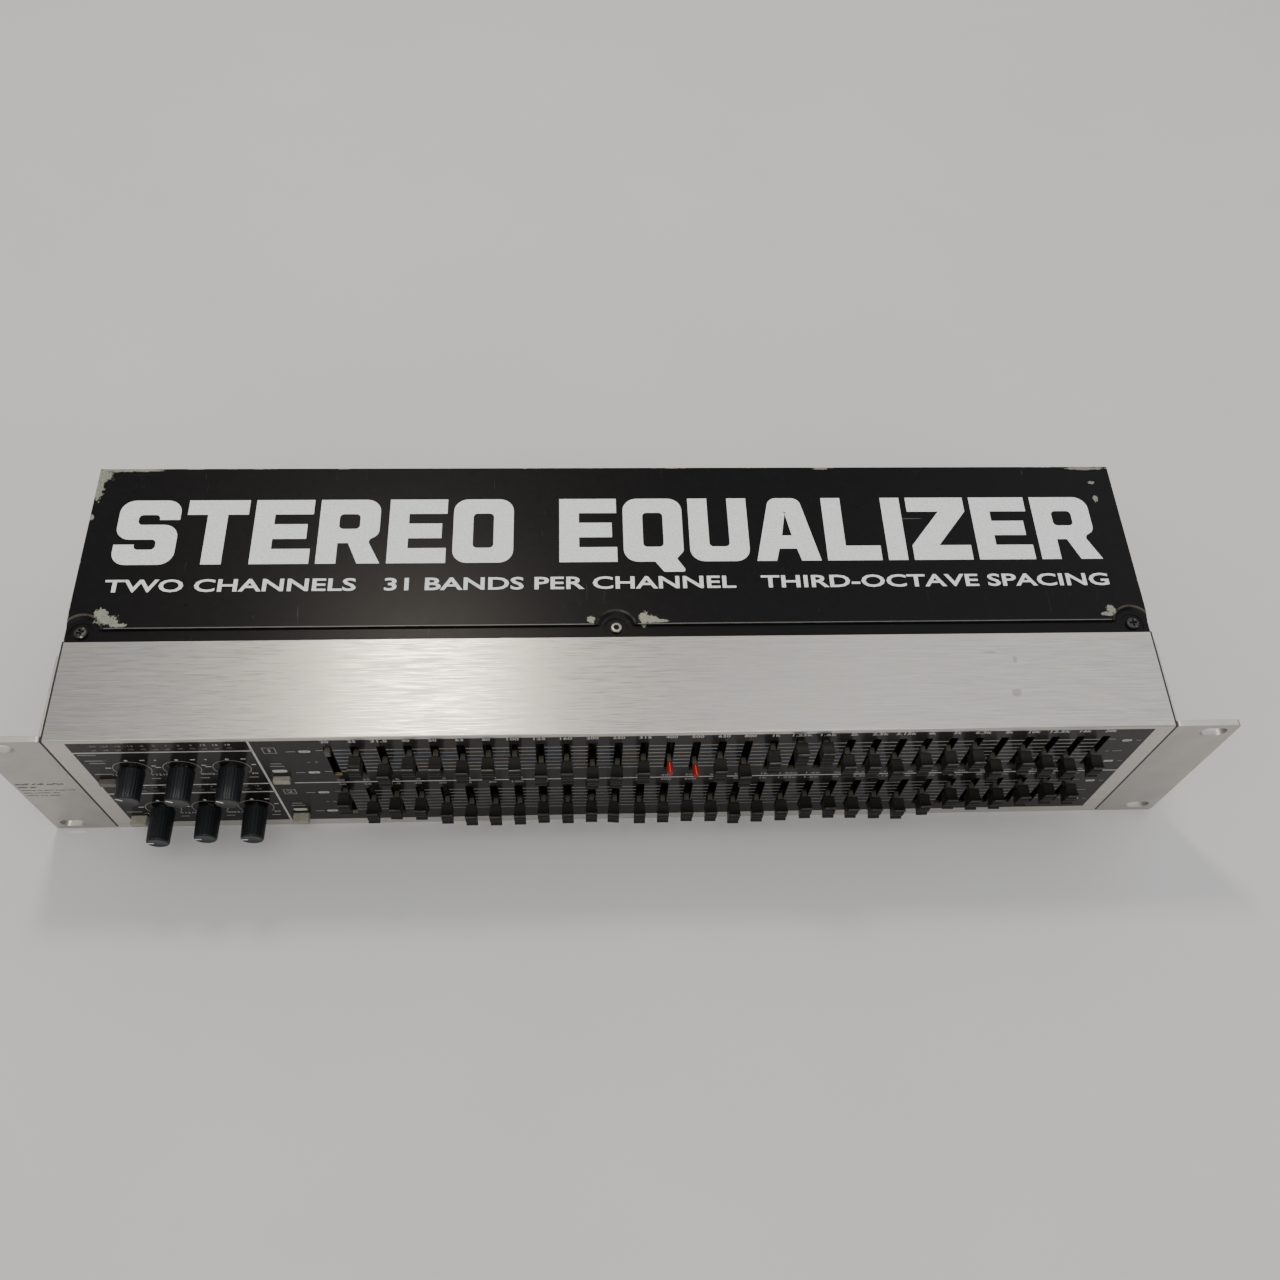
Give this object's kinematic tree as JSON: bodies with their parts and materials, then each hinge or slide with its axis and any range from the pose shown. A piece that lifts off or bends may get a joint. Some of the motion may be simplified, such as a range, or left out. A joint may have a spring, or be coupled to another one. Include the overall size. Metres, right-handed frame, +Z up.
{
  "type": "graphic equalizer",
  "caption": "Two-unit rack graphic equalizer with sliding band controls for two channels, knobs, push buttons, lid, rack ears and rear sockets.",
  "frame": {"origin": "centre of the bounding box's footprint, on the surface that the case stands on", "axes": "+X to the viewer's right along the front panel, +Y from the front panel to the rear wall, +Z up"},
  "size_m": [0.4826, 0.145, 0.0881],
  "materials": {
    "brushed_aluminium": "satin",
    "satin_aluminium": "satin",
    "black_paint": "satin",
    "black_screw": "satin",
    "worn_screw": "satin",
    "slider_plastic": "satin",
    "red_plastic": "satin",
    "knob_plastic": "satin",
    "button_plastic": "satin",
    "moulded_plastic": "satin",
    "circuit_board": "satin",
    "winding_tape": "satin"
  },
  "bodies": {
    "case": {"front_panel": "brushed_aluminium", "left_ear": "satin_aluminium", "right_ear": "satin_aluminium", "top_cover": "black_paint", "lid_screw_left": "black_screw", "lid_screw_middle": "worn_screw", "lid_screw_right": "black_screw", "chassis_tray": "black_paint", "fader_board": "circuit_board", "control_board": "circuit_board", "jack_board": "circuit_board", "mains_inlet": "moulded_plastic", "transformer": "winding_tape"},
    "ch1_slider_20hz": {"ch1_fader_20hz": "slider_plastic"},
    "ch1_slider_25hz": {"ch1_fader_25hz": "slider_plastic"},
    "ch1_slider_31_5hz": {"ch1_fader_31_5hz": "slider_plastic"},
    "ch1_slider_40hz": {"ch1_fader_40hz": "slider_plastic"},
    "ch1_slider_50hz": {"ch1_fader_50hz": "slider_plastic"},
    "ch1_slider_63hz": {"ch1_fader_63hz": "slider_plastic"},
    "ch1_slider_80hz": {"ch1_fader_80hz": "slider_plastic"},
    "ch1_slider_100hz": {"ch1_fader_100hz": "slider_plastic"},
    "ch1_slider_125hz": {"ch1_fader_125hz": "slider_plastic"},
    "ch1_slider_160hz": {"ch1_fader_160hz": "slider_plastic"},
    "ch1_slider_200hz": {"ch1_fader_200hz": "slider_plastic"},
    "ch1_slider_250hz": {"ch1_fader_250hz": "slider_plastic"},
    "ch1_slider_315hz": {"ch1_fader_315hz": "slider_plastic"},
    "ch1_slider_400hz": {"ch1_fader_400hz": "red_plastic"},
    "ch1_slider_500hz": {"ch1_fader_500hz": "red_plastic"},
    "ch1_slider_630hz": {"ch1_fader_630hz": "slider_plastic"},
    "ch1_slider_800hz": {"ch1_fader_800hz": "slider_plastic"},
    "ch1_slider_1khz": {"ch1_fader_1khz": "slider_plastic"},
    "ch1_slider_1k25hz": {"ch1_fader_1k25hz": "slider_plastic"},
    "ch1_slider_1k6hz": {"ch1_fader_1k6hz": "slider_plastic"},
    "ch1_slider_2khz": {"ch1_fader_2khz": "slider_plastic"},
    "ch1_slider_2k5hz": {"ch1_fader_2k5hz": "slider_plastic"},
    "ch1_slider_3k15hz": {"ch1_fader_3k15hz": "slider_plastic"},
    "ch1_slider_4khz": {"ch1_fader_4khz": "slider_plastic"},
    "ch1_slider_5khz": {"ch1_fader_5khz": "slider_plastic"},
    "ch1_slider_6k3hz": {"ch1_fader_6k3hz": "slider_plastic"},
    "ch1_slider_8khz": {"ch1_fader_8khz": "slider_plastic"},
    "ch1_slider_10khz": {"ch1_fader_10khz": "slider_plastic"},
    "ch1_slider_12k5hz": {"ch1_fader_12k5hz": "slider_plastic"},
    "ch1_slider_16khz": {"ch1_fader_16khz": "slider_plastic"},
    "ch1_slider_20khz": {"ch1_fader_20khz": "slider_plastic"},
    "ch2_bank_20_to_50hz": {"ch2_faders_20_to_50hz": "slider_plastic"},
    "ch2_bank_63_to_250hz": {"ch2_faders_63_to_250hz": "slider_plastic"},
    "ch2_bank_315_to_1khz": {"ch2_faders_315_to_1khz": "slider_plastic"},
    "ch2_bank_1k25_to_4khz": {"ch2_faders_1k25_to_4khz": "slider_plastic"},
    "ch2_bank_5k_to_20khz": {"ch2_faders_5k_to_20khz": "slider_plastic"},
    "ch1_knob_1_body": {"ch1_knob_1": "knob_plastic"},
    "ch1_knob_2_body": {"ch1_knob_2": "knob_plastic"},
    "ch1_knob_3_body": {"ch1_knob_3": "knob_plastic"},
    "ch2_knob_1_body": {"ch2_knob_1": "knob_plastic"},
    "ch2_knob_2_body": {"ch2_knob_2": "knob_plastic"},
    "ch2_knob_3_body": {"ch2_knob_3": "knob_plastic"},
    "ch1_limiter_button_body": {"ch1_limiter_button": "button_plastic"},
    "ch1_bypass_button_body": {"ch1_bypass_button": "button_plastic"},
    "ch2_limiter_button_body": {"ch2_limiter_button": "button_plastic"},
    "ch2_bypass_button_body": {"ch2_bypass_button": "button_plastic"},
    "power_rocker": {"power_switch": "moulded_plastic"}
  },
  "joints": [
    {"name": "ch1_slide_20hz", "type": "slide", "parent": "case", "child": "ch1_slider_20hz", "axis": [0, 0, 1], "range_m": [-0.02, 0]},
    {"name": "ch1_slide_25hz", "type": "slide", "parent": "case", "child": "ch1_slider_25hz", "axis": [0, 0, 1], "range_m": [-0.015, 0.005]},
    {"name": "ch1_slide_31_5hz", "type": "slide", "parent": "case", "child": "ch1_slider_31_5hz", "axis": [0, 0, 1], "range_m": [-0.008, 0.012]},
    {"name": "ch1_slide_40hz", "type": "slide", "parent": "case", "child": "ch1_slider_40hz", "axis": [0, 0, 1], "range_m": [-0.014, 0.006]},
    {"name": "ch1_slide_50hz", "type": "slide", "parent": "case", "child": "ch1_slider_50hz", "axis": [0, 0, 1], "range_m": [-0.014, 0.006]},
    {"name": "ch1_slide_63hz", "type": "slide", "parent": "case", "child": "ch1_slider_63hz", "axis": [0, 0, 1], "range_m": [-0.0095, 0.0105]},
    {"name": "ch1_slide_80hz", "type": "slide", "parent": "case", "child": "ch1_slider_80hz", "axis": [0, 0, 1], "range_m": [-0.0125, 0.0075]},
    {"name": "ch1_slide_100hz", "type": "slide", "parent": "case", "child": "ch1_slider_100hz", "axis": [0, 0, 1], "range_m": [-0.0125, 0.0075]},
    {"name": "ch1_slide_125hz", "type": "slide", "parent": "case", "child": "ch1_slider_125hz", "axis": [0, 0, 1], "range_m": [-0.0065, 0.0135]},
    {"name": "ch1_slide_160hz", "type": "slide", "parent": "case", "child": "ch1_slider_160hz", "axis": [0, 0, 1], "range_m": [-0.008, 0.012]},
    {"name": "ch1_slide_200hz", "type": "slide", "parent": "case", "child": "ch1_slider_200hz", "axis": [0, 0, 1], "range_m": [-0.0025, 0.0175]},
    {"name": "ch1_slide_250hz", "type": "slide", "parent": "case", "child": "ch1_slider_250hz", "axis": [0, 0, 1], "range_m": [-0.003, 0.017]},
    {"name": "ch1_slide_315hz", "type": "slide", "parent": "case", "child": "ch1_slider_315hz", "axis": [0, 0, 1], "range_m": [-0.007, 0.013]},
    {"name": "ch1_slide_400hz", "type": "slide", "parent": "case", "child": "ch1_slider_400hz", "axis": [0, 0, 1], "range_m": [-0.007, 0.013]},
    {"name": "ch1_slide_500hz", "type": "slide", "parent": "case", "child": "ch1_slider_500hz", "axis": [0, 0, 1], "range_m": [-0.004, 0.016]},
    {"name": "ch1_slide_630hz", "type": "slide", "parent": "case", "child": "ch1_slider_630hz", "axis": [0, 0, 1], "range_m": [-0.008, 0.012]},
    {"name": "ch1_slide_800hz", "type": "slide", "parent": "case", "child": "ch1_slider_800hz", "axis": [0, 0, 1], "range_m": [-0.002, 0.018]},
    {"name": "ch1_slide_1khz", "type": "slide", "parent": "case", "child": "ch1_slider_1khz", "axis": [0, 0, 1], "range_m": [-0.015, 0.005]},
    {"name": "ch1_slide_1k25hz", "type": "slide", "parent": "case", "child": "ch1_slider_1k25hz", "axis": [0, 0, 1], "range_m": [-0.02, 0]},
    {"name": "ch1_slide_1k6hz", "type": "slide", "parent": "case", "child": "ch1_slider_1k6hz", "axis": [0, 0, 1], "range_m": [-0.02, 0]},
    {"name": "ch1_slide_2khz", "type": "slide", "parent": "case", "child": "ch1_slider_2khz", "axis": [0, 0, 1], "range_m": [-0.0105, 0.0095]},
    {"name": "ch1_slide_2k5hz", "type": "slide", "parent": "case", "child": "ch1_slider_2k5hz", "axis": [0, 0, 1], "range_m": [-0.0095, 0.0105]},
    {"name": "ch1_slide_3k15hz", "type": "slide", "parent": "case", "child": "ch1_slider_3k15hz", "axis": [0, 0, 1], "range_m": [-0.0045, 0.0155]},
    {"name": "ch1_slide_4khz", "type": "slide", "parent": "case", "child": "ch1_slider_4khz", "axis": [0, 0, 1], "range_m": [-0.011, 0.009]},
    {"name": "ch1_slide_5khz", "type": "slide", "parent": "case", "child": "ch1_slider_5khz", "axis": [0, 0, 1], "range_m": [-0.0115, 0.0085]},
    {"name": "ch1_slide_6k3hz", "type": "slide", "parent": "case", "child": "ch1_slider_6k3hz", "axis": [0, 0, 1], "range_m": [-0.0135, 0.0065]},
    {"name": "ch1_slide_8khz", "type": "slide", "parent": "case", "child": "ch1_slider_8khz", "axis": [0, 0, 1], "range_m": [-0.0035, 0.0165]},
    {"name": "ch1_slide_10khz", "type": "slide", "parent": "case", "child": "ch1_slider_10khz", "axis": [0, 0, 1], "range_m": [-0.011, 0.009]},
    {"name": "ch1_slide_12k5hz", "type": "slide", "parent": "case", "child": "ch1_slider_12k5hz", "axis": [0, 0, 1], "range_m": [-0.0065, 0.0135]},
    {"name": "ch1_slide_16khz", "type": "slide", "parent": "case", "child": "ch1_slider_16khz", "axis": [0, 0, 1], "range_m": [-0.003, 0.017]},
    {"name": "ch1_slide_20khz", "type": "slide", "parent": "case", "child": "ch1_slider_20khz", "axis": [0, 0, 1], "range_m": [-0.006, 0.014]},
    {"name": "ch2_slide_20_to_50hz", "type": "slide", "parent": "case", "child": "ch2_bank_20_to_50hz", "axis": [0, 0, 1], "range_m": [-0.0075, 0.0005]},
    {"name": "ch2_slide_63_to_250hz", "type": "slide", "parent": "case", "child": "ch2_bank_63_to_250hz", "axis": [0, 0, 1], "range_m": [-0.0045, 0.0135]},
    {"name": "ch2_slide_315_to_1khz", "type": "slide", "parent": "case", "child": "ch2_bank_315_to_1khz", "axis": [0, 0, 1], "range_m": [-0.002, 0.0145]},
    {"name": "ch2_slide_1k25_to_4khz", "type": "slide", "parent": "case", "child": "ch2_bank_1k25_to_4khz", "axis": [0, 0, 1], "range_m": [-0.004, 0.0135]},
    {"name": "ch2_slide_5k_to_20khz", "type": "slide", "parent": "case", "child": "ch2_bank_5k_to_20khz", "axis": [0, 0, 1], "range_m": [-0.008, 0.002]},
    {"name": "ch1_turn_1", "type": "hinge", "parent": "case", "child": "ch1_knob_1_body", "pos_m": [-0.1902, -0.0567, 0.0617], "axis": [0, 1, 0], "range_deg": [-100, 200]},
    {"name": "ch1_turn_2", "type": "hinge", "parent": "case", "child": "ch1_knob_2_body", "pos_m": [-0.1711, -0.0567, 0.0617], "axis": [0, 1, 0], "range_deg": [-100, 200]},
    {"name": "ch1_turn_3", "type": "hinge", "parent": "case", "child": "ch1_knob_3_body", "pos_m": [-0.152, -0.0567, 0.0617], "axis": [0, 1, 0], "range_deg": [-100, 200]},
    {"name": "ch2_turn_1", "type": "hinge", "parent": "case", "child": "ch2_knob_1_body", "pos_m": [-0.1902, -0.0567, 0.0211], "axis": [0, 1, 0], "range_deg": [-60, 240]},
    {"name": "ch2_turn_2", "type": "hinge", "parent": "case", "child": "ch2_knob_2_body", "pos_m": [-0.1711, -0.0567, 0.0211], "axis": [0, 1, 0], "range_deg": [-60, 240]},
    {"name": "ch2_turn_3", "type": "hinge", "parent": "case", "child": "ch2_knob_3_body", "pos_m": [-0.152, -0.0567, 0.0211], "axis": [0, 1, 0], "range_deg": [-60, 240]},
    {"name": "ch1_limiter_press", "type": "slide", "parent": "case", "child": "ch1_limiter_button_body", "axis": [0, 1, 0], "range_m": [-0.0018, 0.0004]},
    {"name": "ch1_bypass_press", "type": "slide", "parent": "case", "child": "ch1_bypass_button_body", "axis": [0, 1, 0], "range_m": [-0.0018, 0.0004]},
    {"name": "ch2_limiter_press", "type": "slide", "parent": "case", "child": "ch2_limiter_button_body", "axis": [0, 1, 0], "range_m": [0, 0.0022], "stiffness_N_per_m": 150, "springref_m": -0.001},
    {"name": "ch2_bypass_press", "type": "slide", "parent": "case", "child": "ch2_bypass_button_body", "axis": [0, 1, 0], "range_m": [0, 0.0022], "stiffness_N_per_m": 150, "springref_m": -0.001},
    {"name": "power_rock", "type": "hinge", "parent": "case", "child": "power_rocker", "pos_m": [0.165, 0.06473, 0.056], "axis": [1, 0, 0], "range_deg": [0, 24]}
  ]
}
